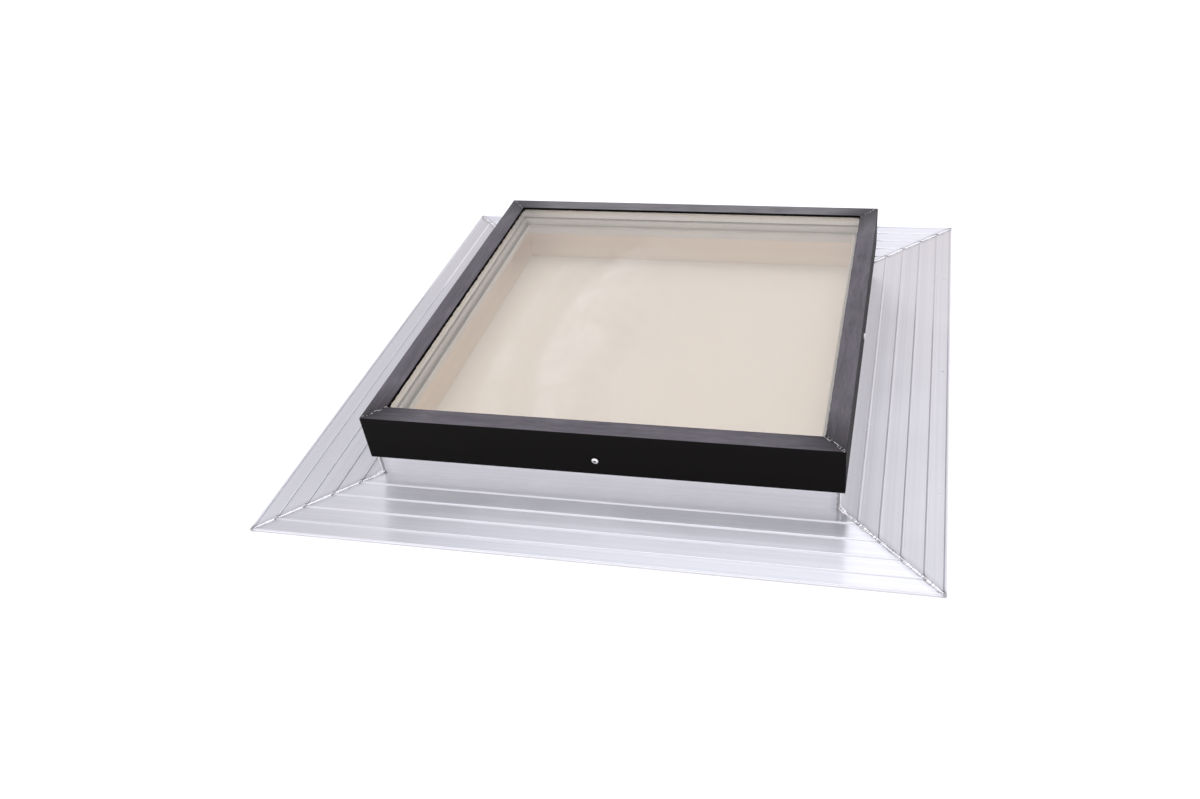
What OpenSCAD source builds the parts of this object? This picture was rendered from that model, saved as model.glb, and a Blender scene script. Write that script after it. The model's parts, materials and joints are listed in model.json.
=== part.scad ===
// Fixed flat-glass roof skylight with its own flashing flange.
// Four mitred aluminium lengths make the curb and the flange, and a mitred cap frame clamps the glass.
// Millimetres. The flange's flat underside is z = 0, up is +Z, and the front side faces -Y.

/* [Overall] */
// Outside width and depth of the square flange
flange_size = 912; // [820:1:1100]
// Outside width and depth of the square cap frame
cap_size = 654; // [540:1:790]
// Height from the flange's underside to the cap's top
total_height = 103.4; // [90:0.1:130]

/* [Flange] */
// Thickness of the flange
flange_thick = 2.5; // [2:0.1:4]
// Number of raised ribs that run along each side
rib_count = 4; // [2:1:6]
// Curb's outer wall to the middle of the first rib
rib_first_gap = 24.5; // [8:0.5:30]
// Middle of the last rib to the outer edge
rib_last_gap = 25.5; // [18:0.5:30]
// Radius of each rib's rounded top
rib_radius = 2.6; // [1.6:0.1:3.2]
// How high each rib stands above the flange
rib_height = 1.8; // [1:0.1:2.2]
// Radius of the thick bead along the outer edge
bead_radius = 2.2; // [1.8:0.1:3]
// Nail holes from the middle one to the next
nail_spacing = 275; // [150:1:320]
// Nail hole centre to the outer edge
nail_inset = 11; // [9:0.1:14]
// Nail hole radius
nail_radius = 2.4; // [1.5:0.1:3]

/* [Curb] */
// Gap between the cap's skirt and the curb's outer wall
skirt_gap = 4.5; // [3:0.1:6]
// Width of the hollow curb wall
curb_width = 20.5; // [16:0.1:30]
// Thickness of the curb's walls
curb_wall = 2.2; // [1.6:0.1:3]
// Gap between the top of the curb and the cap
upstand_gap = 0.5; // [0.2:0.1:2]
// Thickness of the two nibs that the cap's skirt rests against
nib_thick = 2.2; // [1.6:0.1:3]
// Gap between the nibs and the skirt
nib_gap = 0.2; // [0:0.1:0.4]
// Screw centre to the underside of the upper nib
nib_above = 11.3; // [7:0.1:12.5]
// Screw centre to the top of the lower nib
nib_below = 11.3; // [7:0.1:12.5]

/* [Cap frame] */
// Thickness of the cap's angle
cap_thick = 2; // [1.5:0.1:3]
// Width of the cap's flat top
cap_width = 28; // [24:0.1:36]
// Height of the cap's skirt
skirt_height = 67.3; // [45:0.1:80]
// Rounding of the cap's outer edge
cap_edge = 0.8; // [0.3:0.1:1.5]

/* [Glazing] */
// Thickness of each pane
pane_thick = 4; // [3:0.5:6]
// Height of the spacer bar between the panes
spacer_height = 14; // [10:0.5:18]
// Width of the spacer bar
spacer_width = 7.5; // [6:0.5:10]
// Wall of the hollow spacer bar
spacer_wall = 0.8; // [0.5:0.1:1.2]
// Glass edge to the curb's upstand
glass_gap = 2.3; // [1:0.1:4]
// Spacer bar's inner face to the cap's inner edge
spacer_setback = 1.5; // [0.5:0.1:4]
// Thickness of the glazing tape under the cap
glazing_tape = 1.6; // [1:0.1:3]
// Thickness of the seat tape under the glass
seat_tape = 1.8; // [1:0.1:3]
// Glazing tape's inner edge to the cap's inner edge
glazing_tape_setback = 0.3; // [0.1:0.1:3]
// Glazing tape's outer edge to the glass edge
glazing_tape_margin = 1; // [0.5:0.1:4]
// Seat tape's inner edge to the liner's face
seat_tape_setback = 1.1; // [0:0.1:4]
// Seat tape's outer edge to the glass edge
seat_tape_margin = 2; // [0.5:0.1:4]

/* [Liner] */
// Thickness of the liner
liner_thick = 1.8; // [1.2:0.1:2.5]
// Liner's outer edge to the curb's upstand
liner_margin = 4; // [0.5:0.5:8]
// Height of the liner below the curb's top
liner_drop = 27.8; // [20:0.1:32]
// How far the condensation gutter's lip reaches in from the curb
gutter_reach = 10; // [6:0.1:14]
// Height of the gutter's lip
gutter_height = 19.9; // [12:0.1:22]

/* [Cap screws] */
// Screw centre below the curb's seat
screw_drop = 14.9; // [10:0.1:18]
// Radius of the screw's head
head_radius = 4.5; // [3.5:0.1:6]
// Height of the screw's head
head_height = 2.4; // [1.8:0.1:3]
// Radius of the screw's shank
shank_radius = 2.1; // [1.6:0.1:2.6]
// Length of the screw's shank
shank_length = 17; // [12:0.5:20]
// Clearance around the shank in the curb's tapped hole
thread_clearance = 0.05; // [0.01:0.01:0.1]
// Clearance around the shank in the cap's hole
cap_hole_clearance = 0.3; // [0.1:0.1:0.6]
// Width of the cross recess in the head
recess_width = 3.6; // [2.5:0.1:5]
// Width of each slot of the recess
recess_slot = 0.9; // [0.6:0.1:1.4]
// Depth of the recess
recess_depth = 1.4; // [0.8:0.1:1.8]

/* [Hidden] */
$fn = 48;
turn_back = 0;
turn_left = 90;
turn_front = 180;
turn_right = 270;

// Half sizes, measured outwards from the middle of the skylight
flange_half = flange_size / 2;
cap_half = cap_size / 2;
cap_inner = cap_half - cap_width;
skirt_inner = cap_half - cap_thick;
curb_half = skirt_inner - skirt_gap;
well_half = curb_half - curb_width;
upstand_inner = curb_half - curb_wall;
glass_half = upstand_inner - glass_gap;
spacer_inner = cap_inner + spacer_setback;
spacer_outer = spacer_inner + spacer_width;
nail_line = flange_half - nail_inset;

// Heights, stacked down from the cap's top
cap_under = total_height - cap_thick;
outer_top = cap_under - glazing_tape;
outer_under = outer_top - pane_thick;
inner_top = outer_under - spacer_height;
inner_under = inner_top - pane_thick;
liner_top = inner_under - seat_tape;
seat_z = liner_top - liner_thick;
skirt_bottom = total_height - skirt_height;
screw_z = seat_z - screw_drop;
liner_bottom = seat_z - liner_drop;
lip_top = liner_bottom + gutter_height;

// The ribs share the width between the first one and the last
rib_first = curb_half + rib_first_gap;
rib_pitch = (flange_half - rib_last_gap - rib_first) / (rib_count - 1);
rib_centre = flange_thick + rib_height - rib_radius;

// Small nibs on the curb keep the skirt square when the screw is tight
nib_face = skirt_inner - nib_gap;
nib_low = screw_z - nib_below - nib_thick;
nib_high = screw_z + nib_above;

// The gutter's lip leans in, and its inner face is one liner thickness away from its outer one
lip_lean = sqrt(gutter_reach * gutter_reach + gutter_height * gutter_height);
lip_across = liner_thick * gutter_height / lip_lean;
lip_up = liner_thick * gutter_reach / lip_lean;
liner_face = well_half - liner_thick;
trough_z = liner_bottom + lip_up + (lip_across + liner_thick) * gutter_height / gutter_reach;

mill_aluminium = [0.77, 0.77, 0.79];
bronze_paint = [0.12, 0.11, 0.11];
black_foam = [0.05, 0.05, 0.05];
grey_vinyl = [0.72, 0.73, 0.74];
clear_glass = [0.85, 0.9, 0.9, 0.3];
bronze_glass = [0.75, 0.66, 0.56, 0.35];
screw_steel = [0.75, 0.75, 0.74];

// ---- shared shapes ----

// A rectangle from one corner to the other, in outward distance and height
module slab(low_out, low_z, high_out, high_z) {
  translate([low_out, low_z])
    square([high_out - low_out, high_z - low_z]);
}

// A bar with the given section and both ends cut at 45 degrees, on the side that turn picks
module mitred_bar(reach, turn) {
  rotate([0, 0, turn])
    intersection() {
      translate([-reach, 0, 0])
        rotate([90, 0, 90])
          linear_extrude(height = 2 * reach)
            children();
      translate([0, 0, -1])
        linear_extrude(height = total_height + 2)
          polygon([[0, 0], [reach + 1, reach + 1], [-reach - 1, reach + 1]]);
    }
}

// A hole or pin that runs outwards through the middle of one side at the screws' height
module across(turn, from, to, radius) {
  rotate([0, 0, turn])
    translate([0, from, screw_z])
      rotate([-90, 0, 0])
        cylinder(r = radius, h = to - from);
}

// ---- curb and flange ----

module rib_section(place) {
  intersection() {
    translate([place, rib_centre])
      circle(r = rib_radius);
    slab(place - rib_radius - 1, flange_thick / 2, place + rib_radius + 1, flange_thick + rib_height + 1);
  }
}

module curb_section() {
  slab(well_half, 0, flange_half - bead_radius, flange_thick);
  translate([flange_half - bead_radius, bead_radius])
    circle(r = bead_radius);
  for (index = [0 : rib_count - 1])
    rib_section(rib_first + index * rib_pitch);
  slab(well_half, 0, well_half + curb_wall, seat_z);
  slab(well_half, seat_z - curb_wall, curb_half, seat_z);
  slab(upstand_inner, 0, curb_half, cap_under - upstand_gap);
  slab(upstand_inner, nib_low, nib_face, nib_low + nib_thick);
  slab(upstand_inner, nib_high, nib_face, nib_high + nib_thick);
}

module curb(turn) {
  color(mill_aluminium)
    difference() {
      mitred_bar(flange_half, turn)
        curb_section();
      across(turn, upstand_inner - 1, curb_half + 1, shank_radius + thread_clearance);
    }
}

module nailed_curb(turn) {
  color(mill_aluminium)
    difference() {
      curb(turn);
      for (index = [-1 : 1])
        rotate([0, 0, turn])
          translate([index * nail_spacing, nail_line, -1])
            cylinder(r = nail_radius, h = flange_thick + 2);
    }
}

// ---- cap frame ----

module cap_section() {
  difference() {
    union() {
      slab(cap_inner, cap_under, cap_half, total_height);
      slab(skirt_inner, skirt_bottom, cap_half, total_height);
    }
    difference() {
      slab(cap_half - cap_edge, total_height - cap_edge, cap_half + 1, total_height + 1);
      translate([cap_half - cap_edge, total_height - cap_edge])
        circle(r = cap_edge);
    }
  }
}

module cap(turn) {
  color(bronze_paint)
    difference() {
      mitred_bar(cap_half, turn)
        cap_section();
      across(turn, skirt_inner - 1, cap_half + 1, shank_radius + cap_hole_clearance);
    }
}

// ---- liner with its condensation gutter ----

module liner_section() {
  polygon([
    [upstand_inner - liner_margin, seat_z],
    [upstand_inner - liner_margin, liner_top],
    [liner_face, liner_top],
    [liner_face, trough_z],
    [well_half - gutter_reach + lip_across, lip_top + lip_up],
    [well_half - gutter_reach, lip_top],
    [well_half, liner_bottom],
    [well_half, seat_z]
  ]);
}

module liner(turn) {
  color(grey_vinyl)
    mitred_bar(upstand_inner, turn)
      liner_section();
}

// ---- tapes ----

module seat_strip(turn) {
  color(black_foam)
    mitred_bar(upstand_inner, turn)
      slab(liner_face + seat_tape_setback, liner_top, glass_half - seat_tape_margin, inner_under);
}

module glazing_strip(turn) {
  color(black_foam)
    mitred_bar(upstand_inner, turn)
      slab(cap_inner + glazing_tape_setback, outer_top, glass_half - glazing_tape_margin, cap_under);
}

// ---- glazing unit ----

module spacer(turn) {
  color(mill_aluminium)
    mitred_bar(spacer_outer, turn)
      difference() {
        slab(spacer_inner, inner_top, spacer_outer, outer_under);
        slab(
          spacer_inner + spacer_wall, inner_top + spacer_wall,
          spacer_outer - spacer_wall, outer_under - spacer_wall
        );
      }
}

module pane(level) {
  translate([-glass_half, -glass_half, level])
    cube([2 * glass_half, 2 * glass_half, pane_thick]);
}

module outer_pane() {
  color(clear_glass)
    pane(outer_under);
}

module inner_pane() {
  color(bronze_glass)
    pane(inner_under);
}

module edge_seal() {
  color(black_foam)
    difference() {
      translate([-glass_half, -glass_half, inner_top])
        cube([2 * glass_half, 2 * glass_half, spacer_height]);
      translate([-spacer_outer, -spacer_outer, inner_top - 1])
        cube([2 * spacer_outer, 2 * spacer_outer, spacer_height + 2]);
    }
}

// ---- cap screws ----

// Pan head with a cross recess, its underside flat on the skirt
module screw_head() {
  difference() {
    intersection() {
      cylinder(r = head_radius, h = head_height);
      translate([0, 0, head_height - 2 * head_radius])
        sphere(r = 2 * head_radius);
    }
    translate([-recess_width / 2, -recess_slot / 2, head_height - recess_depth])
      cube([recess_width, recess_slot, recess_depth + 1]);
    translate([-recess_slot / 2, -recess_width / 2, head_height - recess_depth])
      cube([recess_slot, recess_width, recess_depth + 1]);
  }
}

module screw(turn) {
  color(screw_steel)
    union() {
      rotate([0, 0, turn])
        translate([0, cap_half, screw_z])
          rotate([-90, 0, 0])
            screw_head();
      across(turn, cap_half - shank_length, cap_half + head_height / 4, shank_radius);
    }
}

// ---- one module per piece ----

module curb_front() { curb(turn_front); }
module curb_back() { curb(turn_back); }
module curb_left() { nailed_curb(turn_left); }
module curb_right() { nailed_curb(turn_right); }
module cap_front() { cap(turn_front); }
module cap_back() { cap(turn_back); }
module cap_left() { cap(turn_left); }
module cap_right() { cap(turn_right); }
module liner_front() { liner(turn_front); }
module liner_back() { liner(turn_back); }
module liner_left() { liner(turn_left); }
module liner_right() { liner(turn_right); }
module seat_tape_front() { seat_strip(turn_front); }
module seat_tape_back() { seat_strip(turn_back); }
module seat_tape_left() { seat_strip(turn_left); }
module seat_tape_right() { seat_strip(turn_right); }
module glazing_tape_front() { glazing_strip(turn_front); }
module glazing_tape_back() { glazing_strip(turn_back); }
module glazing_tape_left() { glazing_strip(turn_left); }
module glazing_tape_right() { glazing_strip(turn_right); }
module spacer_front() { spacer(turn_front); }
module spacer_back() { spacer(turn_back); }
module spacer_left() { spacer(turn_left); }
module spacer_right() { spacer(turn_right); }
module screw_front() { screw(turn_front); }
module screw_back() { screw(turn_back); }
module screw_left() { screw(turn_left); }
module screw_right() { screw(turn_right); }

curb_front();
curb_back();
curb_left();
curb_right();
cap_front();
cap_back();
cap_left();
cap_right();
liner_front();
liner_back();
liner_left();
liner_right();
seat_tape_front();
seat_tape_back();
seat_tape_left();
seat_tape_right();
glazing_tape_front();
glazing_tape_back();
glazing_tape_left();
glazing_tape_right();
spacer_front();
spacer_back();
spacer_left();
spacer_right();
outer_pane();
inner_pane();
edge_seal();
screw_front();
screw_back();
screw_left();
screw_right();
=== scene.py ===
# %% [markdown]
# # A fixed roof skylight
# This skylight lets daylight through a roof and never opens. A welded aluminium
# curb with a wide ribbed flange sits on the roof deck, a double glazed unit lies
# on top of it, and a dark bronze cap frame clamps the glass.
#
# The solid pieces come ready made from the CAD model. Here each one gets its real
# finish, and the details that CAD leaves out are added: the weld beads, the tiny
# breather holes in the spacer bars, the glazing tape that has squeezed out under
# the cap, and the studio around it all.

# %% Load the CAD pieces
import json
import math

import bpy
from mathutils import Matrix, Vector


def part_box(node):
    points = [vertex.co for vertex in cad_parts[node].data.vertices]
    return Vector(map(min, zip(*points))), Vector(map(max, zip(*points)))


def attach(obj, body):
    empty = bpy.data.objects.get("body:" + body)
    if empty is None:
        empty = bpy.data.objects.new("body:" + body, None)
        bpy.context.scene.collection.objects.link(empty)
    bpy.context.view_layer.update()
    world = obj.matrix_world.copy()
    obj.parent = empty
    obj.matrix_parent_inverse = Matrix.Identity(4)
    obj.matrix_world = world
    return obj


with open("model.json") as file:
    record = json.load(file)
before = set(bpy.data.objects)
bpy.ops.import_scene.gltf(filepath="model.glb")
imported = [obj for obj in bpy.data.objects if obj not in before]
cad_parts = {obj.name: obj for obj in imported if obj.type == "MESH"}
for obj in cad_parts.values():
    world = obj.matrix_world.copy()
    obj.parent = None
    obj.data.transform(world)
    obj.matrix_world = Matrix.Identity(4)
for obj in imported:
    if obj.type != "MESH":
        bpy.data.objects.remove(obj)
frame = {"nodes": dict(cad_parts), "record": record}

scene = bpy.context.scene
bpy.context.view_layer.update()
print("pieces from the CAD model:", len(frame["nodes"]))

# %% [markdown]
# ## Sizes
# Everything is in metres. Where the box of a CAD piece gives a size, it is read from
# there. A box can't say how thick the flange is or where its ribs stand, so those
# sizes repeat the CAD model's values, and have to be changed along with them.

# %% Read the sizes
MM = 0.001
flange_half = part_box("curb_front")[1].x
cap_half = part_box("cap_front")[1].x
cap_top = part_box("cap_front")[1].z
glass_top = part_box("outer_pane")[1].z
spacer_low, spacer_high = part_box("spacer_back")
screw_height = (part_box("screw_front")[0].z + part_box("screw_front")[1].z) / 2
skirt_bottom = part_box("cap_front")[0].z

flange_thick = 2.5 * MM
curb_half = 320.5 * MM
well_half = 300.0 * MM
cap_inner = 299.0 * MM
cap_thick = 2.0 * MM
first_rib, rib_step, rib_count = 345.0, 28.5, 4  # the first two in millimetres
rib_centres = [(first_rib + rib_step * i) * MM for i in range(rib_count)]
print("flange %.0f mm wide, cap %.0f mm wide" % (2 * flange_half / MM, 2 * cap_half / MM))

# %% [markdown]
# ## Three small helpers
# Paint and plastic colours are written as the hex values a colour picker shows,
# which are sRGB. Shaders work in linear light, so one function turns one into the
# other. The second helper adds a node, sets it up and wires it in one call, which
# keeps every material below short enough to read. The third starts a new, empty
# material.

# %% Colour and node helpers
def linear(hex_colour, alpha=1.0):
    values = [int(hex_colour[i:i + 2], 16) / 255 for i in (1, 3, 5)]
    return [v / 12.92 if v <= 0.04045 else ((v + 0.055) / 1.055) ** 2.4 for v in values] + [alpha]


def add(tree, kind, inputs=None, **settings):
    node = tree.nodes.new(kind)
    for name, value in settings.items():
        setattr(node, name, value)
    for key, value in (inputs or {}).items():
        if isinstance(value, bpy.types.NodeSocket):
            tree.links.new(value, node.inputs[key])
        else:
            node.inputs[key].default_value = value
    return node


def new_material(name):
    material = bpy.data.materials.new(name)
    material.use_nodes = True
    material.node_tree.nodes.clear()
    return material, material.node_tree


print("mid grey #808080 is %.3f in linear light" % linear("#808080")[0])

# %% [markdown]
# ## The camera
# The skylight is seen from above its front side, a little to the right of its
# middle. The lens is a moderate wide angle, and a small shift places the skylight
# in the frame as a view camera would.

# %% Place the camera
def look(position, forward, up):
    forward, up = Vector(forward).normalized(), Vector(up)
    side = forward.cross(up).normalized()
    up = side.cross(forward)
    turn = Matrix((side, up, -forward)).transposed().to_4x4()
    return Matrix.Translation(Vector(position)) @ turn


camera_data = bpy.data.cameras.new("camera")
camera_data.sensor_width = 36.0
camera_data.lens = 31.53
camera_data.shift_x = -0.0660
camera_data.shift_y = 0.0340
camera = bpy.data.objects.new("camera", camera_data)
camera_place = (0.3893, -1.3320, 0.9335)
camera_aim = (-0.2046, 0.7549, -0.6231)
camera_up = (-0.0685, 0.624, 0.7784)
camera.matrix_world = look(camera_place, camera_aim, camera_up)
scene.collection.objects.link(camera)
scene.camera = camera
print("camera %.2f m from the middle of the glass" % (camera.location - Vector((0, 0, glass_top))).length)

# %% [markdown]
# ## Mill-finish aluminium
# The curb and flange are extruded and left as they come from the die. The die
# leaves fine lines along each length, and they stretch every reflection across
# them: sharp along the length, smeared across it. The Anisotropic setting does
# that, once the shader knows which way each length runs. Front and back run along
# X, left and right along Y, and a point belongs to the side where its distance
# from the middle is larger.

# %% Aluminium
def side_coordinates(tree):
    # where a point lies: its place, its height, whether its side runs along Y, how far
    # along and across that side it is, and how far it is from the nearest mitre
    place = add(tree, "ShaderNodeTexCoord").outputs["Object"]
    xyz = add(tree, "ShaderNodeSeparateXYZ", {0: place})
    out_x = add(tree, "ShaderNodeMath", {0: xyz.outputs["X"]}, operation="ABSOLUTE").outputs[0]
    out_y = add(tree, "ShaderNodeMath", {0: xyz.outputs["Y"]}, operation="ABSOLUTE").outputs[0]
    runs_y = add(tree, "ShaderNodeMath", {0: out_x, 1: out_y}, operation="GREATER_THAN").outputs[0]
    along = add(tree, "ShaderNodeMix", {0: runs_y, 2: xyz.outputs["X"], 3: xyz.outputs["Y"]}).outputs[0]
    across = add(tree, "ShaderNodeMix", {0: runs_y, 2: xyz.outputs["Y"], 3: xyz.outputs["X"]}).outputs[0]
    gap = add(tree, "ShaderNodeMath", {0: out_x, 1: out_y}, operation="SUBTRACT").outputs[0]
    mitre = add(tree, "ShaderNodeMath", {0: gap}, operation="ABSOLUTE").outputs[0]
    return place, xyz.outputs["Z"], runs_y, along, across, mitre


def mill_aluminium():
    material, tree = new_material("mill_finish_aluminium")
    place, height, runs_y, along, across, mitre = side_coordinates(tree)
    # die lines about 1 mm apart, hundreds of millimetres long
    slow = add(tree, "ShaderNodeMath", {0: along, 1: 0.004}, operation="MULTIPLY").outputs[0]
    stretched = add(tree, "ShaderNodeCombineXYZ", {"X": slow, "Y": across, "Z": height}).outputs[0]
    lines = add(tree, "ShaderNodeTexNoise", {
        "Vector": stretched, "Scale": 900.0, "Detail": 3.0, "Roughness": 0.6})
    bands = add(tree, "ShaderNodeTexNoise", {"Vector": stretched, "Scale": 260.0, "Detail": 3.0})
    clouds = add(tree, "ShaderNodeTexNoise", {"Vector": place, "Scale": 9.0, "Detail": 4.0, "Roughness": 0.6})
    streaks = add(tree, "ShaderNodeMapRange", {
        "Value": bands.outputs["Fac"], "From Min": 0.3, "From Max": 0.7})
    tone = add(tree, "ShaderNodeMix", {0: streaks.outputs[0], 6: linear("#ebebed"), 7: linear("#f3f3f4")},
               data_type="RGBA")
    # painted light: the inner faces are painted warm, as light through the bronze pane would tint them, and
    # palest at the foot, where the floor lights them
    out = add(tree, "ShaderNodeMath", {0: across}, operation="ABSOLUTE").outputs[0]
    inside = add(tree, "ShaderNodeMath", {0: out, 1: well_half + 1.0 * MM}, operation="LESS_THAN").outputs[0]
    foot = add(tree, "ShaderNodeMapRange", {"Value": height, "From Min": 0.0, "From Max": 0.028})
    painted_warm_light = add(tree, "ShaderNodeMix", {0: foot.outputs[0], 6: linear("#fdf5ea"), 7: linear("#ede1d5")},
               data_type="RGBA")
    with_painted_light = add(tree, "ShaderNodeMix", {0: inside, 6: tone.outputs[2], 7: painted_warm_light.outputs[2]}, data_type="RGBA")
    # painted shade beside the bead, together with the welder's soot and heat: a thin dark line against the
    # bead and a dull halo a few millimetres wide, on the outer faces only
    halo = add(tree, "ShaderNodeMapRange", {"Value": mitre, "From Min": 0.003, "From Max": 0.016,
                                            "To Min": 0.22, "To Max": 0.0}, interpolation_type="SMOOTHSTEP")
    spots = add(tree, "ShaderNodeTexNoise", {"Vector": place, "Scale": 180.0, "Detail": 2.0})
    edge = add(tree, "ShaderNodeMath", {0: spots.outputs["Fac"], 1: 0.006, 2: mitre},
               operation="MULTIPLY_ADD")
    soot_and_painted_shade = add(tree, "ShaderNodeMapRange", {"Value": edge.outputs[0], "From Min": 0.0066, "From Max": 0.0085,
                                            "To Min": 0.75, "To Max": 0.0}, interpolation_type="SMOOTHSTEP")
    worst = add(tree, "ShaderNodeMath", {0: halo.outputs[0], 1: soot_and_painted_shade.outputs[0]},
                operation="MAXIMUM").outputs[0]
    outside = add(tree, "ShaderNodeMath", {0: 1.0, 1: inside}, operation="SUBTRACT").outputs[0]
    heat_and_painted_shade = add(tree, "ShaderNodeMath", {0: worst, 1: outside}, operation="MULTIPLY").outputs[0]
    dulled_and_shaded = add(tree, "ShaderNodeMix", {0: heat_and_painted_shade, 6: with_painted_light.outputs[2], 7: linear("#8f8b8c")},
                 data_type="RGBA")
    rough = add(tree, "ShaderNodeMapRange", {"Value": clouds.outputs["Fac"], "From Min": 0.3, "From Max": 0.7,
                                             "To Min": 0.27, "To Max": 0.32})
    bump = add(tree, "ShaderNodeBump", {"Height": lines.outputs["Fac"], "Strength": 0.06, "Distance": 0.0002})
    not_y = add(tree, "ShaderNodeMath", {0: 1.0, 1: runs_y}, operation="SUBTRACT").outputs[0]
    grain = add(tree, "ShaderNodeCombineXYZ", {"X": not_y, "Y": runs_y, "Z": 0.0}).outputs[0]
    shader = add(tree, "ShaderNodeBsdfPrincipled", {
        "Base Color": dulled_and_shaded.outputs[2], "Metallic": 1.0, "Roughness": rough.outputs[0],
        "Anisotropic": 1.0, "Anisotropic Rotation": 0.25, "Tangent": grain, "Normal": bump.outputs[0]})
    add(tree, "ShaderNodeOutputMaterial", {"Surface": shader.outputs[0]})
    return material


finishes = {"mill_aluminium": mill_aluminium()}
print("made", finishes["mill_aluminium"].name)

# %% [markdown]
# ## Dark bronze powder coat
# The cap frame is aluminium too, but sprayed with powder and baked. The baked skin
# is nearly black, dull, and faintly dimpled like orange peel. Pale dust and a painted
# sheen lie on the faces that look up, and the back bar is painted lighter still as
# painted sheen, so the top looks grey while the sides stay dark. At each mitre the saw
# cut shows as a fine dark seam with specks of bare metal.

# %% Powder coat
def bronze_powder_coat():
    material, tree = new_material("bronze_powder_coat")
    place, height, _, along, across, mitre = side_coordinates(tree)
    slow = add(tree, "ShaderNodeMath", {0: along, 1: 0.15}, operation="MULTIPLY").outputs[0]
    stretched = add(tree, "ShaderNodeCombineXYZ", {"X": slow, "Y": across, "Z": height}).outputs[0]
    peel = add(tree, "ShaderNodeTexNoise", {"Vector": place, "Scale": 700.0, "Detail": 2.0})
    mottle = add(tree, "ShaderNodeTexNoise", {"Vector": place, "Scale": 40.0, "Detail": 3.0})
    tone = add(tree, "ShaderNodeMix", {0: mottle.outputs["Fac"], 6: linear("#070505"), 7: linear("#0c0908")},
               data_type="RGBA")
    # a thin film of pale dust, with a painted sheen on top of it, lightens the faces that look up;
    # it lies in faint streaks along each bar and is rubbed thinner near the corners
    normal = add(tree, "ShaderNodeSeparateXYZ", {0: add(tree, "ShaderNodeNewGeometry").outputs["Normal"]})
    streaks = add(tree, "ShaderNodeTexNoise", {
        "Vector": stretched, "Scale": 160.0, "Detail": 4.0, "Roughness": 0.7})
    film = add(tree, "ShaderNodeMapRange", {"Value": streaks.outputs["Fac"], "From Min": 0.3, "From Max": 0.7,
                                            "To Min": 0.62, "To Max": 1.0}).outputs[0]
    up = add(tree, "ShaderNodeMapRange", {
        "Value": normal.outputs["Z"], "From Min": 0.6, "From Max": 0.95}).outputs[0]
    rubbed = add(tree, "ShaderNodeMapRange", {"Value": mitre, "From Min": 0.0, "From Max": 0.07,
                                              "To Min": 0.35, "To Max": 1.0}).outputs[0]
    dust_and_sheen_on_top = add(tree, "ShaderNodeMath", {0: film, 1: up}, operation="MULTIPLY").outputs[0]
    dust_and_sheen = add(tree, "ShaderNodeMath", {0: dust_and_sheen_on_top, 1: rubbed}, operation="MULTIPLY").outputs[0]
    # painted sheen: the back bar is painted lighter, as a grazing reflection would make it look
    back = add(tree, "ShaderNodeSeparateXYZ", {0: place}).outputs["Y"]
    thick = add(tree, "ShaderNodeMapRange", {"Value": back, "From Min": 0.20, "From Max": 0.31}).outputs[0]
    dust_and_sheen_colour = add(tree, "ShaderNodeMix", {0: thick, 6: linear("#625e63"), 7: linear("#757375")},
                 data_type="RGBA")
    dusty_and_sheened = add(tree, "ShaderNodeMix", {0: dust_and_sheen, 6: tone.outputs[2], 7: dust_and_sheen_colour.outputs[2]}, data_type="RGBA")
    # the saw cut: a dark line half a millimetre wide, and a burr of bare metal along it
    # that the paint missed in places
    chips = add(tree, "ShaderNodeTexNoise", {"Vector": place, "Scale": 300.0, "Detail": 1.0})
    bare = add(tree, "ShaderNodeMapRange", {
        "Value": chips.outputs["Fac"], "From Min": 0.50, "From Max": 0.60}).outputs[0]
    burr = add(tree, "ShaderNodeMapRange", {"Value": mitre, "From Min": 0.0020, "From Max": 0.0030,
                                            "To Min": 1.0, "To Max": 0.0}).outputs[0]
    on_top = add(tree, "ShaderNodeMath", {0: bare, 1: up}, operation="MULTIPLY").outputs[0]
    scratched = add(tree, "ShaderNodeMath", {0: on_top, 1: burr}, operation="MULTIPLY").outputs[0]
    chipped = add(tree, "ShaderNodeMix", {0: scratched, 6: dusty_and_sheened.outputs[2], 7: linear("#b9b6b6")},
                  data_type="RGBA")
    cut = add(tree, "ShaderNodeMapRange", {"Value": mitre, "From Min": 0.0008, "From Max": 0.0013,
                                           "To Min": 1.0, "To Max": 0.0}).outputs[0]
    colour = add(tree, "ShaderNodeMix", {0: cut, 6: chipped.outputs[2], 7: linear("#0a0909")},
                 data_type="RGBA")
    rough = add(tree, "ShaderNodeMapRange", {"Value": mottle.outputs["Fac"], "To Min": 0.55, "To Max": 0.65})
    bump = add(tree, "ShaderNodeBump", {"Height": peel.outputs["Fac"], "Strength": 0.25, "Distance": 0.0001})
    shader = add(tree, "ShaderNodeBsdfPrincipled", {
        "Base Color": colour.outputs[2], "Roughness": rough.outputs[0], "IOR": 1.5,
        "Specular IOR Level": 0.10, "Normal": bump.outputs[0]})
    add(tree, "ShaderNodeOutputMaterial", {"Surface": shader.outputs[0]})
    return material


finishes["bronze_cap"] = bronze_powder_coat()
print("made", finishes["bronze_cap"].name)

# %% [markdown]
# ## Vinyl, foam and sealant
# The liner is rigid vinyl, pushed through a die, so it is smooth with a soft sheen.
# The tapes are closed-cell foam, blown with gas and sliced, so they are matte and
# finely pitted: light grey under the glass, black under the cap. The sealant round
# the edge of the glass is pumped in and sets to a dull black rubber.

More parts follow.
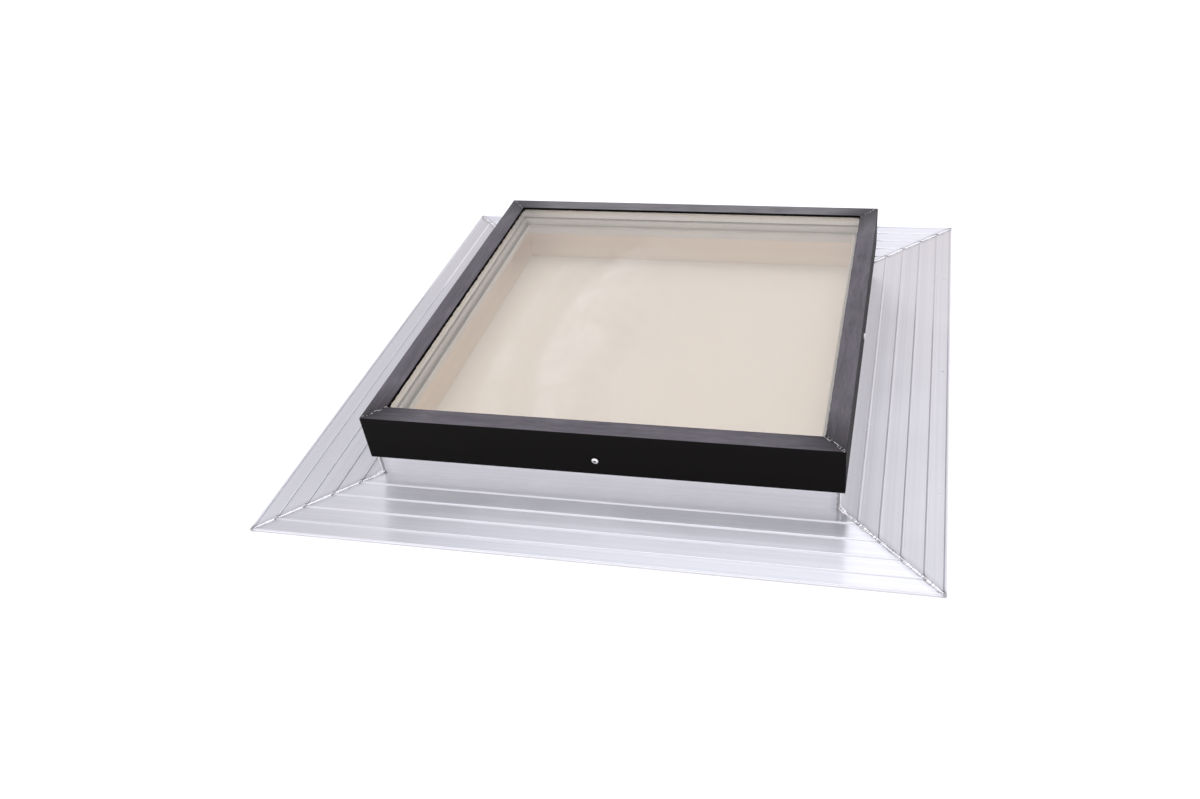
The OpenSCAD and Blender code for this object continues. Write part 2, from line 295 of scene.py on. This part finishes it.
# %% Plastics
def grey_vinyl():
    material, tree = new_material("grey_rigid_vinyl")
    place = add(tree, "ShaderNodeTexCoord").outputs["Object"]
    flow = add(tree, "ShaderNodeTexNoise", {"Vector": place, "Scale": 30.0, "Detail": 3.0})
    tone = add(tree, "ShaderNodeMix", {0: flow.outputs["Fac"], 6: linear("#d9dcde"), 7: linear("#e4e6e7")},
               data_type="RGBA")
    bump = add(tree, "ShaderNodeBump", {"Height": flow.outputs["Fac"], "Strength": 0.1, "Distance": 0.0003})
    shader = add(tree, "ShaderNodeBsdfPrincipled", {
        "Base Color": tone.outputs[2], "Roughness": 0.42, "IOR": 1.53, "Normal": bump.outputs[0]})
    add(tree, "ShaderNodeOutputMaterial", {"Surface": shader.outputs[0]})
    return material


def matte_foam(name, dark, light, cell_mm, roughness):
    material, tree = new_material(name)
    place = add(tree, "ShaderNodeTexCoord").outputs["Object"]
    cells = add(tree, "ShaderNodeTexVoronoi", {"Vector": place, "Scale": 1000.0 / cell_mm})
    tone = add(tree, "ShaderNodeMix", {0: cells.outputs["Distance"], 6: linear(dark), 7: linear(light)},
               data_type="RGBA")
    bump = add(tree, "ShaderNodeBump", {
        "Height": cells.outputs["Distance"], "Strength": 0.4, "Distance": 0.0002})
    shader = add(tree, "ShaderNodeBsdfPrincipled", {
        "Base Color": tone.outputs[2], "Roughness": roughness, "IOR": 1.5, "Specular IOR Level": 0.12,
        "Normal": bump.outputs[0]})
    add(tree, "ShaderNodeOutputMaterial", {"Surface": shader.outputs[0]})
    return material


finishes["grey_vinyl"] = grey_vinyl()
finishes["seat_foam"] = matte_foam("seat_foam_tape", "#a3a2a0", "#b4b3b1", 0.6, 0.9)
finishes["glazing_foam"] = matte_foam("glazing_foam_tape", "#050505", "#0c0b0b", 0.6, 0.95)
finishes["edge_sealant"] = matte_foam("edge_sealant", "#0b0b0b", "#161616", 2.0, 0.6)
print("made", len(finishes), "finishes so far")

# %% [markdown]
# ## Spacer bar and screws
# The spacer is thin aluminium strip, rolled and folded, which leaves it satin. The
# weld metal froze from a puddle, so it is bright and smooth. The screws are steel,
# pressed and plated: the rim is rubbed bright, and grime and painted shade darken the recess.

# %% Small metal pieces
def satin_metal(name, dark, light, grain_mm, rough_low, rough_high):
    material, tree = new_material(name)
    place = add(tree, "ShaderNodeTexCoord").outputs["Object"]
    grain = add(tree, "ShaderNodeTexNoise", {"Vector": place, "Scale": 1000.0 / grain_mm, "Detail": 3.0})
    tone = add(tree, "ShaderNodeMix", {0: grain.outputs["Fac"], 6: linear(dark), 7: linear(light)},
               data_type="RGBA")
    rough = add(tree, "ShaderNodeMapRange", {
        "Value": grain.outputs["Fac"], "To Min": rough_low, "To Max": rough_high})
    bump = add(tree, "ShaderNodeBump", {"Height": grain.outputs["Fac"], "Strength": 0.1, "Distance": 0.0001})
    shader = add(tree, "ShaderNodeBsdfPrincipled", {
        "Base Color": tone.outputs[2], "Metallic": 1.0, "Roughness": rough.outputs[0],
        "Normal": bump.outputs[0]})
    add(tree, "ShaderNodeOutputMaterial", {"Surface": shader.outputs[0]})
    return material


def screw_steel():
    material, tree = new_material("screw_steel")
    place = add(tree, "ShaderNodeTexCoord").outputs["Object"]
    xyz = add(tree, "ShaderNodeSeparateXYZ", {0: place}).outputs
    out_x = add(tree, "ShaderNodeMath", {0: xyz["X"]}, operation="ABSOLUTE").outputs[0]
    out_y = add(tree, "ShaderNodeMath", {0: xyz["Y"]}, operation="ABSOLUTE").outputs[0]
    # every screw points at the middle of the skylight, so the smaller of the two is the
    # distance from its axis sideways
    sideways = add(tree, "ShaderNodeMath", {0: out_x, 1: out_y}, operation="MINIMUM").outputs[0]
    above = add(tree, "ShaderNodeMath", {0: xyz["Z"], 1: screw_height}, operation="SUBTRACT").outputs[0]
    offset = add(tree, "ShaderNodeCombineXYZ", {"X": sideways, "Y": above, "Z": 0.0}).outputs[0]
    from_axis = add(tree, "ShaderNodeVectorMath", {0: offset}, operation="LENGTH").outputs["Value"]
    # grime and painted shade darken the cross recess, and the rim is rubbed bright
    clear_of_grime_and_shade = add(tree, "ShaderNodeMapRange", {
        "Value": from_axis, "From Min": 1.2 * MM, "From Max": 2.1 * MM}).outputs[0]
    tone = add(tree, "ShaderNodeMix", {0: clear_of_grime_and_shade, 6: linear("#3b3836"), 7: linear("#f2f1ef")},
               data_type="RGBA")
    plating = add(tree, "ShaderNodeTexNoise", {"Vector": place, "Scale": 1200.0, "Detail": 2.0})
    rough = add(tree, "ShaderNodeMapRange", {"Value": plating.outputs["Fac"], "To Min": 0.22, "To Max": 0.34})
    shader = add(tree, "ShaderNodeBsdfPrincipled", {
        "Base Color": tone.outputs[2], "Metallic": 1.0, "Roughness": rough.outputs[0]})
    add(tree, "ShaderNodeOutputMaterial", {"Surface": shader.outputs[0]})
    return material


finishes["spacer_aluminium"] = satin_metal("spacer_aluminium", "#e9e5e1", "#f6f3f0", 3.0, 0.40, 0.50)
finishes["screw_steel"] = screw_steel()
weld_metal = satin_metal("weld_aluminium", "#dededf", "#fdfdfd", 2.5, 0.18, 0.32)
print("made the small metals")

# %% [markdown]
# ## Glass
# The outer pane is clear float glass and the inner one has a light bronze tint.
# Float glass sets on molten tin, so it is all but flat and gives sharp reflections.
# Real glass bends the view, and that is kept. But light that has to find its way
# through two bending panes is slow and noisy to trace, so for shadows and for
# scattered light the pane acts as a simple tinted sheet. A milky white film is
# painted on the glass in two wide arcs as a painted reflection.

# %% Glass
arc_centre = (0.130, -0.090, glass_top)
arc_stretch = (1.0, 0.65, 1.0)
# each arc: how far out its rim is, how long its trail is, and how strong it is
painted_reflection_arcs = ((0.256, 0.11, 1.0), (0.326, 0.04, 0.7))


def pane_glass(name, tint, sheet_tint, haze):
    material, tree = new_material(name)
    place = add(tree, "ShaderNodeTexCoord").outputs["Object"]
    # even float glass is never quite flat: waves a few centimetres long
    waves = add(tree, "ShaderNodeTexNoise", {"Vector": place, "Scale": 14.0, "Detail": 1.0})
    bump = add(tree, "ShaderNodeBump", {"Height": waves.outputs["Fac"], "Strength": 0.02, "Distance": 0.001})
    glass = add(tree, "ShaderNodeBsdfPrincipled", {
        "Base Color": linear(tint), "Roughness": 0.0, "IOR": 1.52, "Transmission Weight": 1.0,
        "Normal": bump.outputs[0]})
    sheet = add(tree, "ShaderNodeBsdfTransparent", {"Color": linear(sheet_tint)})
    path = add(tree, "ShaderNodeLightPath")
    simple = add(tree, "ShaderNodeMath", {
        0: path.outputs["Is Shadow Ray"], 1: path.outputs["Is Diffuse Ray"]}, operation="MAXIMUM").outputs[0]
    both = add(tree, "ShaderNodeMixShader", {0: simple, 1: glass.outputs[0], 2: sheet.outputs[0]})
    # the painted reflection, a milky white film: each arc has a crisp outer rim and trails off inwards
    from_arc_centre = add(tree, "ShaderNodeVectorMath", {0: place, 1: arc_centre}, operation="SUBTRACT")
    oval = add(tree, "ShaderNodeVectorMath", {0: from_arc_centre.outputs[0], 1: arc_stretch}, operation="MULTIPLY")
    swing = add(tree, "ShaderNodeVectorMath", {0: oval.outputs[0]}, operation="LENGTH").outputs["Value"]
    film = 0.0
    for reach, trail_length, strength in painted_reflection_arcs:
        rim = add(tree, "ShaderNodeMapRange", {
            "Value": swing, "From Min": reach - 0.016, "From Max": reach + 0.008,
            "To Min": strength, "To Max": 0.0}, interpolation_type="SMOOTHSTEP")
        trail = add(tree, "ShaderNodeMapRange", {
            "Value": swing, "From Min": reach - trail_length, "From Max": reach,
            "To Min": 0.2, "To Max": 1.0})
        film = add(tree, "ShaderNodeMath", {0: rim.outputs[0], 1: trail.outputs[0], 2: film},
                   operation="MULTIPLY_ADD").outputs[0]
    # it is blotchy, and fades towards the right and the back
    blotches = add(tree, "ShaderNodeTexNoise", {
        "Vector": place, "Scale": 7.0, "Detail": 3.0, "Distortion": 1.0})
    uneven = add(tree, "ShaderNodeMapRange", {
        "Value": blotches.outputs["Fac"], "From Min": 0.35, "From Max": 0.65,
        "To Min": 0.3 * haze, "To Max": haze}).outputs[0]
    xyz = add(tree, "ShaderNodeSeparateXYZ", {0: place}).outputs
    to_right = add(tree, "ShaderNodeMapRange", {"Value": xyz["X"], "From Min": -0.08, "From Max": 0.10,
                                                "To Min": 1.0, "To Max": 0.25}).outputs[0]
    to_back = add(tree, "ShaderNodeMapRange", {"Value": xyz["Y"], "From Min": 0.0, "From Max": 0.22,
                                               "To Min": 1.0, "To Max": 0.0}).outputs[0]
    for share in (uneven, to_right, to_back):
        film = add(tree, "ShaderNodeMath", {0: film, 1: share}, operation="MULTIPLY").outputs[0]
    painted_reflection_white = add(tree, "ShaderNodeBsdfDiffuse", {"Color": linear("#f4f2f0")})
    whole = add(tree, "ShaderNodeMixShader", {0: film, 1: both.outputs[0], 2: painted_reflection_white.outputs[0]})
    add(tree, "ShaderNodeOutputMaterial", {"Surface": whole.outputs[0]})
    return material


finishes["clear_glass"] = pane_glass("clear_float_glass", "#fbfdfc", "#f7f9f8", 0.12)
finishes["bronze_glass"] = pane_glass("light_bronze_glass", "#efe6de", "#f5f0ea", 0.01)
print("made the two glasses")

# %% [markdown]
# ## Weld beads
# The four lengths are welded along each mitre of the flange and up each corner of
# the curb. A hand-held torch leaves a row of overlapping ripples. A ripple is one
# small flattened drop, so the bead is a path with a drop on every step. The bead
# stops at each rib, where a small dab joins the two tops, and a puddle fills the
# foot of each corner.

# %% Geometry Nodes tree for a row of drops
def drops_along_path(name, material):
    tree = bpy.data.node_groups.new(name, "GeometryNodeTree")
    face = tree.interface
    face.new_socket("Path", in_out="INPUT", socket_type="NodeSocketGeometry")
    for label in ("Step", "Radius", "Patch"):
        face.new_socket(label, in_out="INPUT", socket_type="NodeSocketFloat")
    face.new_socket("Shape", in_out="INPUT", socket_type="NodeSocketVector")
    face.new_socket("Seed", in_out="INPUT", socket_type="NodeSocketInt")
    face.new_socket("Drops", in_out="OUTPUT", socket_type="NodeSocketGeometry")
    given = add(tree, "NodeGroupInput").outputs
    curve = add(tree, "GeometryNodeMeshToCurve", {0: given["Path"]})
    steps = add(tree, "GeometryNodeResampleCurve", {
        "Curve": curve.outputs[0], "Length": given["Step"]}, mode="LENGTH")
    drop = add(tree, "GeometryNodeMeshUVSphere", {"Segments": 8, "Rings": 5, "Radius": given["Radius"]})
    smooth = add(tree, "GeometryNodeSetShadeSmooth", {"Geometry": drop.outputs[0]})
    uneven = add(tree, "FunctionNodeRandomValue", {2: 0.85, 3: 1.15, "Seed": given["Seed"]})
    place = add(tree, "GeometryNodeInputPosition")
    patches = add(tree, "ShaderNodeTexNoise", {
        "Vector": place.outputs[0], "Scale": given["Patch"], "Detail": 0.0})
    swell = add(tree, "ShaderNodeMapRange", {
        "Value": patches.outputs["Fac"], "From Min": 0.3, "From Max": 0.6,
        "To Min": 0.72, "To Max": 1.1})
    size = add(tree, "ShaderNodeMath", {0: uneven.outputs[1], 1: swell.outputs[0]}, operation="MULTIPLY")
    shape = add(tree, "ShaderNodeVectorMath", {0: given["Shape"], "Scale": size.outputs[0]},
                operation="SCALE")
    placed = add(tree, "GeometryNodeInstanceOnPoints", {
        "Points": steps.outputs[0], "Instance": smooth.outputs[0], "Scale": shape.outputs[0]})
    real = add(tree, "GeometryNodeRealizeInstances", {0: placed.outputs[0]})
    painted = add(tree, "GeometryNodeSetMaterial", {"Geometry": real.outputs[0], "Material": material})
    add(tree, "NodeGroupOutput", {0: painted.outputs[0]})
    return tree


def grow(name, paths, tree, sizes):
    path_mesh = bpy.data.meshes.new(name + "_path")
    points, edges = [], []
    for path in paths:
        edges += [(len(points) + i, len(points) + i + 1) for i in range(len(path) - 1)]
        points += path
    path_mesh.from_pydata(points, edges, [])
    holder = bpy.data.objects.new(name + "_path", path_mesh)
    scene.collection.objects.link(holder)
    modifier = holder.modifiers.new("grow", "NODES")
    modifier.node_group = tree
    for item in tree.interface.items_tree:
        if item.in_out == "INPUT" and item.name in sizes:
            modifier[item.identifier] = sizes[item.name]
    ready = holder.evaluated_get(bpy.context.evaluated_depsgraph_get())
    mesh = bpy.data.meshes.new_from_object(ready)
    mesh.name = name
    bpy.data.objects.remove(holder)
    piece = bpy.data.objects.new(name, mesh)
    scene.collection.objects.link(piece)
    print(name, "has", len(mesh.polygons), "faces")
    return piece


# %% Lay the weld beads
rib_clear = 3.2 * MM
dab_half, dab_height = 1.2 * MM, 4.0 * MM
bead_out = curb_half + 0.2 * MM
bead_top = skirt_bottom + 20.0 * MM
puddle_in, puddle_high = curb_half + 0.5 * MM, 5.0 * MM
puddle_out, puddle_low = curb_half + 5.5 * MM, 3.6 * MM
corners = [(sx, sy) for sx in (-1, 1) for sy in (-1, 1)]
# along a mitre the bead starts at the curb, stops on both sides of each rib and ends
# just short of the flange's edge
stops = [curb_half + 2.0 * MM]
stops += [centre + gap for centre in rib_centres for gap in (-rib_clear, rib_clear)]
stops += [flange_half - 3.0 * MM]
runs = list(zip(stops[0::2], stops[1::2]))


def straight(start, stop, steps=12):
    return [tuple(Vector(start).lerp(Vector(stop), i / steps)) for i in range(steps + 1)]


def on_mitre(corner, out, height):
    return (corner[0] * out, corner[1] * out, height)


mitre_paths = [straight(on_mitre(c, a, flange_thick), on_mitre(c, b, flange_thick))
               for c in corners for a, b in runs]
rib_paths = [straight(on_mitre(c, r - dab_half, dab_height), on_mitre(c, r + dab_half, dab_height), 2)
             for c in corners for r in rib_centres]
corner_paths = [straight(on_mitre(c, bead_out, flange_thick), on_mitre(c, bead_out, bead_top))
                for c in corners]
puddle_paths = [straight(on_mitre(c, puddle_in, puddle_high), on_mitre(c, puddle_out, puddle_low), 4)
                for c in corners]

bead_tree = drops_along_path("weld_bead", weld_metal)
weld_beads = [
    grow("flange_weld_beads", mitre_paths, bead_tree,
         {"Step": 2.5 * MM, "Radius": 2.9 * MM, "Patch": 45.0, "Shape": (1.0, 1.0, 0.55), "Seed": 4}),
    grow("rib_weld_dabs", rib_paths, bead_tree,
         {"Step": 1.2 * MM, "Radius": 1.0 * MM, "Patch": 1.0, "Shape": (1.0, 1.0, 0.8), "Seed": 2}),
    grow("curb_weld_beads", corner_paths, bead_tree,
         {"Step": 1.5 * MM, "Radius": 1.4 * MM, "Patch": 60.0, "Shape": (1.0, 1.0, 1.0), "Seed": 9}),
    grow("corner_weld_puddles", puddle_paths, bead_tree,
         {"Step": 1.8 * MM, "Radius": 3.4 * MM, "Patch": 1.0, "Shape": (1.0, 1.0, 0.7), "Seed": 6}),
]
for bead in weld_beads:
    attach(bead, "root")

# %% [markdown]
# ## Breather holes
# Grains inside the spacer bar keep the gap between the panes dry. They breathe
# through a row of pinholes down the middle of the bar's inner face. The same tree
# makes them: each drop is squashed to a black disc of painted shade that lies on the
# face where a hole would be dark. The real holes are about half a millimetre across,
# and these are drawn a little larger.

# %% Pinholes
pin_height = (spacer_low.z + spacer_high.z) / 2
bar = spacer_low.y - 0.02 * MM
bar_end = bar - 8.0 * MM
# the discs take the black sealant finish as painted shade for the holes
pin_tree = drops_along_path("pinholes", finishes["edge_sealant"])
for axis, name in enumerate(("front_back", "left_right")):
    ends = [((-bar_end, side * bar), (bar_end, side * bar)) for side in (-1, 1)]
    if axis:
        ends = [tuple(point[::-1] for point in pair) for pair in ends]
    rows = [straight((*a, pin_height), (*b, pin_height), 1) for a, b in ends]
    flat = (1.0, 0.06, 1.0) if axis == 0 else (0.06, 1.0, 1.0)
    pins = grow("breather_holes_" + name, rows, pin_tree,
                {"Step": 6.0 * MM, "Radius": 0.45 * MM, "Patch": 0.0, "Shape": flat, "Seed": 1})
    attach(pins, "root")

# %% [markdown]
# ## Squeezed-out glazing tape
# When the cap is pressed down on its black tape, some of the tape creeps out
# over the glass and leaves a ragged edge. It is a rope that follows the inner edge
# of the cap, thicker and thinner as it goes, so the tree sweeps a circle along the
# path and lets noise set its radius. Then it is pressed flat: no point may go below
# the glass or above the underside of the cap.

# %% Geometry Nodes tree for an uneven rope
def pressed_rope(name, material):
    tree = bpy.data.node_groups.new(name, "GeometryNodeTree")
    face = tree.interface
    face.new_socket("Path", in_out="INPUT", socket_type="NodeSocketGeometry")
    for label in ("Step", "Radius", "Lumps", "Glass", "Lip"):
        face.new_socket(label, in_out="INPUT", socket_type="NodeSocketFloat")
    face.new_socket("Rope", in_out="OUTPUT", socket_type="NodeSocketGeometry")
    given = add(tree, "NodeGroupInput").outputs
    curve = add(tree, "GeometryNodeMeshToCurve", {0: given["Path"]})
    steps = add(tree, "GeometryNodeResampleCurve", {
        "Curve": curve.outputs[0], "Length": given["Step"]}, mode="LENGTH")
    place = add(tree, "GeometryNodeInputPosition").outputs[0]
    lumps = add(tree, "ShaderNodeTexNoise", {"Vector": place, "Scale": given["Lumps"], "Detail": 3.0})
    thick = add(tree, "ShaderNodeMapRange", {
        "Value": lumps.outputs["Fac"], "From Min": 0.35, "From Max": 0.65,
        "To Min": 0.6, "To Max": 1.4})
    radius = add(tree, "ShaderNodeMath", {0: thick.outputs[0], 1: given["Radius"]}, operation="MULTIPLY")
    profile = add(tree, "GeometryNodeCurvePrimitiveCircle", {"Resolution": 12, "Radius": 1.0})
    swept = add(tree, "GeometryNodeCurveToMesh", {
        "Curve": steps.outputs[0], "Profile Curve": profile.outputs[0],
        "Scale": radius.outputs[0], "Fill Caps": True})
    xyz = add(tree, "ShaderNodeSeparateXYZ", {0: place}).outputs
    pressed = add(tree, "ShaderNodeClamp", {
        "Value": xyz["Z"], "Min": given["Glass"], "Max": given["Lip"]}).outputs[0]
    spot = add(tree, "ShaderNodeCombineXYZ", {"X": xyz["X"], "Y": xyz["Y"], "Z": pressed}).outputs[0]
    flat = add(tree, "GeometryNodeSetPosition", {"Geometry": swept.outputs[0], "Position": spot})
    smooth = add(tree, "GeometryNodeSetShadeSmooth", {"Geometry": flat.outputs[0]})
    real = add(tree, "GeometryNodeRealizeInstances", {0: smooth.outputs[0]})
    painted = add(tree, "GeometryNodeSetMaterial", {"Geometry": real.outputs[0], "Material": material})
    add(tree, "NodeGroupOutput", {0: painted.outputs[0]})
    return tree


# %% Lay the squeeze-out
rope_half = cap_inner + 0.4 * MM
rounding = 9.0 * MM
skin = 0.02 * MM
lip_underside = cap_top - cap_thick
rope_height = (glass_top + lip_underside) / 2
# a square ring with rounded corners, anticlockwise from the back right corner
turns = ((1, 1), (-1, 1), (-1, -1), (1, -1))
corner_points = 7
ring = []
for turn, (sx, sy) in enumerate(turns):
    centre = Vector((sx, sy, 0)) * (rope_half - rounding)
    for step in range(corner_points):
        angle = math.radians(90 * turn + 90 // (corner_points - 1) * step)
        ring.append((centre.x + rounding * math.cos(angle),
                     centre.y + rounding * math.sin(angle), rope_height))
rope_tree = pressed_rope("squeeze_out", finishes["glazing_foam"])
# each side's rope runs from the middle of one corner to the middle of the next, and
# the one along the left side is thicker than the others
rope_radii = (("back", 0.9), ("left", 2.3), ("front", 1.2), ("right", 0.9))
for turn, (side, radius) in enumerate(rope_radii):
    first = corner_points * turn + corner_points // 2
    path = [ring[(first + i) % len(ring)] for i in range(corner_points + 1)]
    rope = grow("glazing_squeeze_out_" + side, [path], rope_tree, {
        "Step": 2.0 * MM, "Radius": radius * MM, "Lumps": 90.0,
        "Glass": glass_top + skin, "Lip": lip_underside - skin})
    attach(rope, "root")

# %% [markdown]
# ## Dress the CAD pieces
# The record says which finish each piece takes.

# %% Assign the finishes
slot_of = {entry["node"]: entry["material_slot"] for entry in frame["record"]["subparts"]}
for name, piece in frame["nodes"].items():
    piece.data.materials.clear()
    piece.data.materials.append(finishes[slot_of[name]])
print("dressed", len(slot_of), "pieces")

# %% [markdown]
# ## The studio
# A wide floor of white backdrop paper, pressed from pulp and so quite matte, lies
# under soft light. Bare metal shows the room more than its own colour, so the room is
# written by direction: a pale wall all round, a little dimmer low at the back left,
# with a soft glow high at the back that the flange mirrors.
# One broad light overhead fills the well and the floor. It is kept out of the
# reflections, so it leaves no spot in the glass.

# %% Floor and light
floor_half = 9
floor_corners = [(x * floor_half, y * floor_half, 0) for x, y in ((-1, -1), (1, -1), (1, 1), (-1, 1))]
floor_mesh = bpy.data.meshes.new("studio_floor")
floor_mesh.from_pydata(floor_corners, [], [(0, 1, 2, 3)])
floor = bpy.data.objects.new("studio_floor", floor_mesh)
floor.location.z = -0.2 * MM
scene.collection.objects.link(floor)
floor_material, tree = new_material("pale_studio_floor")
place = add(tree, "ShaderNodeTexCoord").outputs["Object"]
paper = add(tree, "ShaderNodeTexNoise", {"Vector": place, "Scale": 3.0})
tone = add(tree, "ShaderNodeMix", {0: paper.outputs["Fac"], 6: linear("#f4f4f4"), 7: linear("#f8f8f8")},
           data_type="RGBA")
shader = add(tree, "ShaderNodeBsdfDiffuse", {"Color": tone.outputs[2]})
add(tree, "ShaderNodeOutputMaterial", {"Surface": shader.outputs[0]})
floor_mesh.materials.append(floor_material)

world = bpy.data.worlds.new("studio")
world.use_nodes = True
scene.world = world
tree = world.node_tree
tree.nodes.clear()
direction = add(tree, "ShaderNodeSeparateXYZ", {0: add(tree, "ShaderNodeTexCoord").outputs["Generated"]})
# each fade is a level that changes smoothly from one value to another while the
# direction's x, y or z passes between two limits
fades = {
    "back_left": ("X", -0.55, 0.35, 0.77, 1.12),
    "back_low": ("Z", 0.38, 0.70, 0.82, 1.0),
    "to_the_back": ("Y", -0.2, 0.2, 0.0, 1.0),
    "glow_low": ("Z", 0.73, 0.87, 0.0, 1.0),
    "glow_high": ("Z", 0.96, 1.0, 1.0, 0.5),
    "glow_left": ("X", -0.56, -0.34, 0.0, 1.15),
    "glow_middle": ("X", -0.17, 0.02, 1.0, 0.2),
    "glow_right": ("X", -0.16, 0.0, 0.0, 1.35),
    "glow_right_low": ("Z", 0.82, 0.94, 0.0, 1.0),
    "glow_back": ("Y", -0.12, 0.14, 0.0, 1.0),
    "blue_above": ("Z", 0.35, 0.80, 0.0, 1.0),
}
level = {}
for name, (axis, low, high, first, last) in fades.items():
    level[name] = add(tree, "ShaderNodeMapRange", {
        "Value": direction.outputs[axis], "From Min": low, "From Max": high, "To Min": first, "To Max": last},
        interpolation_type="SMOOTHSTEP").outputs[0]
# the room behind the skylight dims towards the left and towards the floor
behind = add(tree, "ShaderNodeMath", {0: level["back_left"], 1: level["back_low"]},
             operation="MULTIPLY").outputs[0]
in_front = 1.01
room_light = add(tree, "ShaderNodeMix", {0: level["to_the_back"], 2: in_front, 3: behind}).outputs[0]
# a soft glow high behind it, in two overlapping patches: one wide, one higher and to
# the right
glow = 0.0
for patch in (("glow_left", "glow_middle", "glow_low"), ("glow_right", "glow_right_low")):
    share = 1.0
    for name in patch + ("glow_high", "glow_back"):
        share = add(tree, "ShaderNodeMath", {0: share, 1: level[name]}, operation="MULTIPLY").outputs[0]
    glow = add(tree, "ShaderNodeMath", {0: glow, 1: share}, operation="ADD").outputs[0]
strength = add(tree, "ShaderNodeMath", {0: room_light, 1: glow}, operation="ADD").outputs[0]
tint = add(tree, "ShaderNodeMix", {0: level["blue_above"], 6: linear("#fffaff"), 7: linear("#f4f5ff")},
           data_type="RGBA").outputs[2]
room = add(tree, "ShaderNodeBackground", {"Color": tint, "Strength": strength})
# the camera itself sees a plain white backdrop
backdrop = add(tree, "ShaderNodeBackground", {"Color": linear("#ffffff"), "Strength": 1.0})
seen = add(tree, "ShaderNodeMixShader", {0: add(tree, "ShaderNodeLightPath").outputs["Is Camera Ray"],
                                         1: room.outputs[0], 2: backdrop.outputs[0]})
add(tree, "ShaderNodeOutputWorld", {"Surface": seen.outputs[0]})

overhead_data = bpy.data.lights.new("overhead_light", "SUN")
overhead_data.energy = 1.15
overhead_data.angle = math.radians(55)
overhead = bpy.data.objects.new("overhead_light", overhead_data)
overhead.visible_glossy = False
scene.collection.objects.link(overhead)

scene.view_settings.view_transform = "Standard"
print("studio is lit by one overhead light and the room")
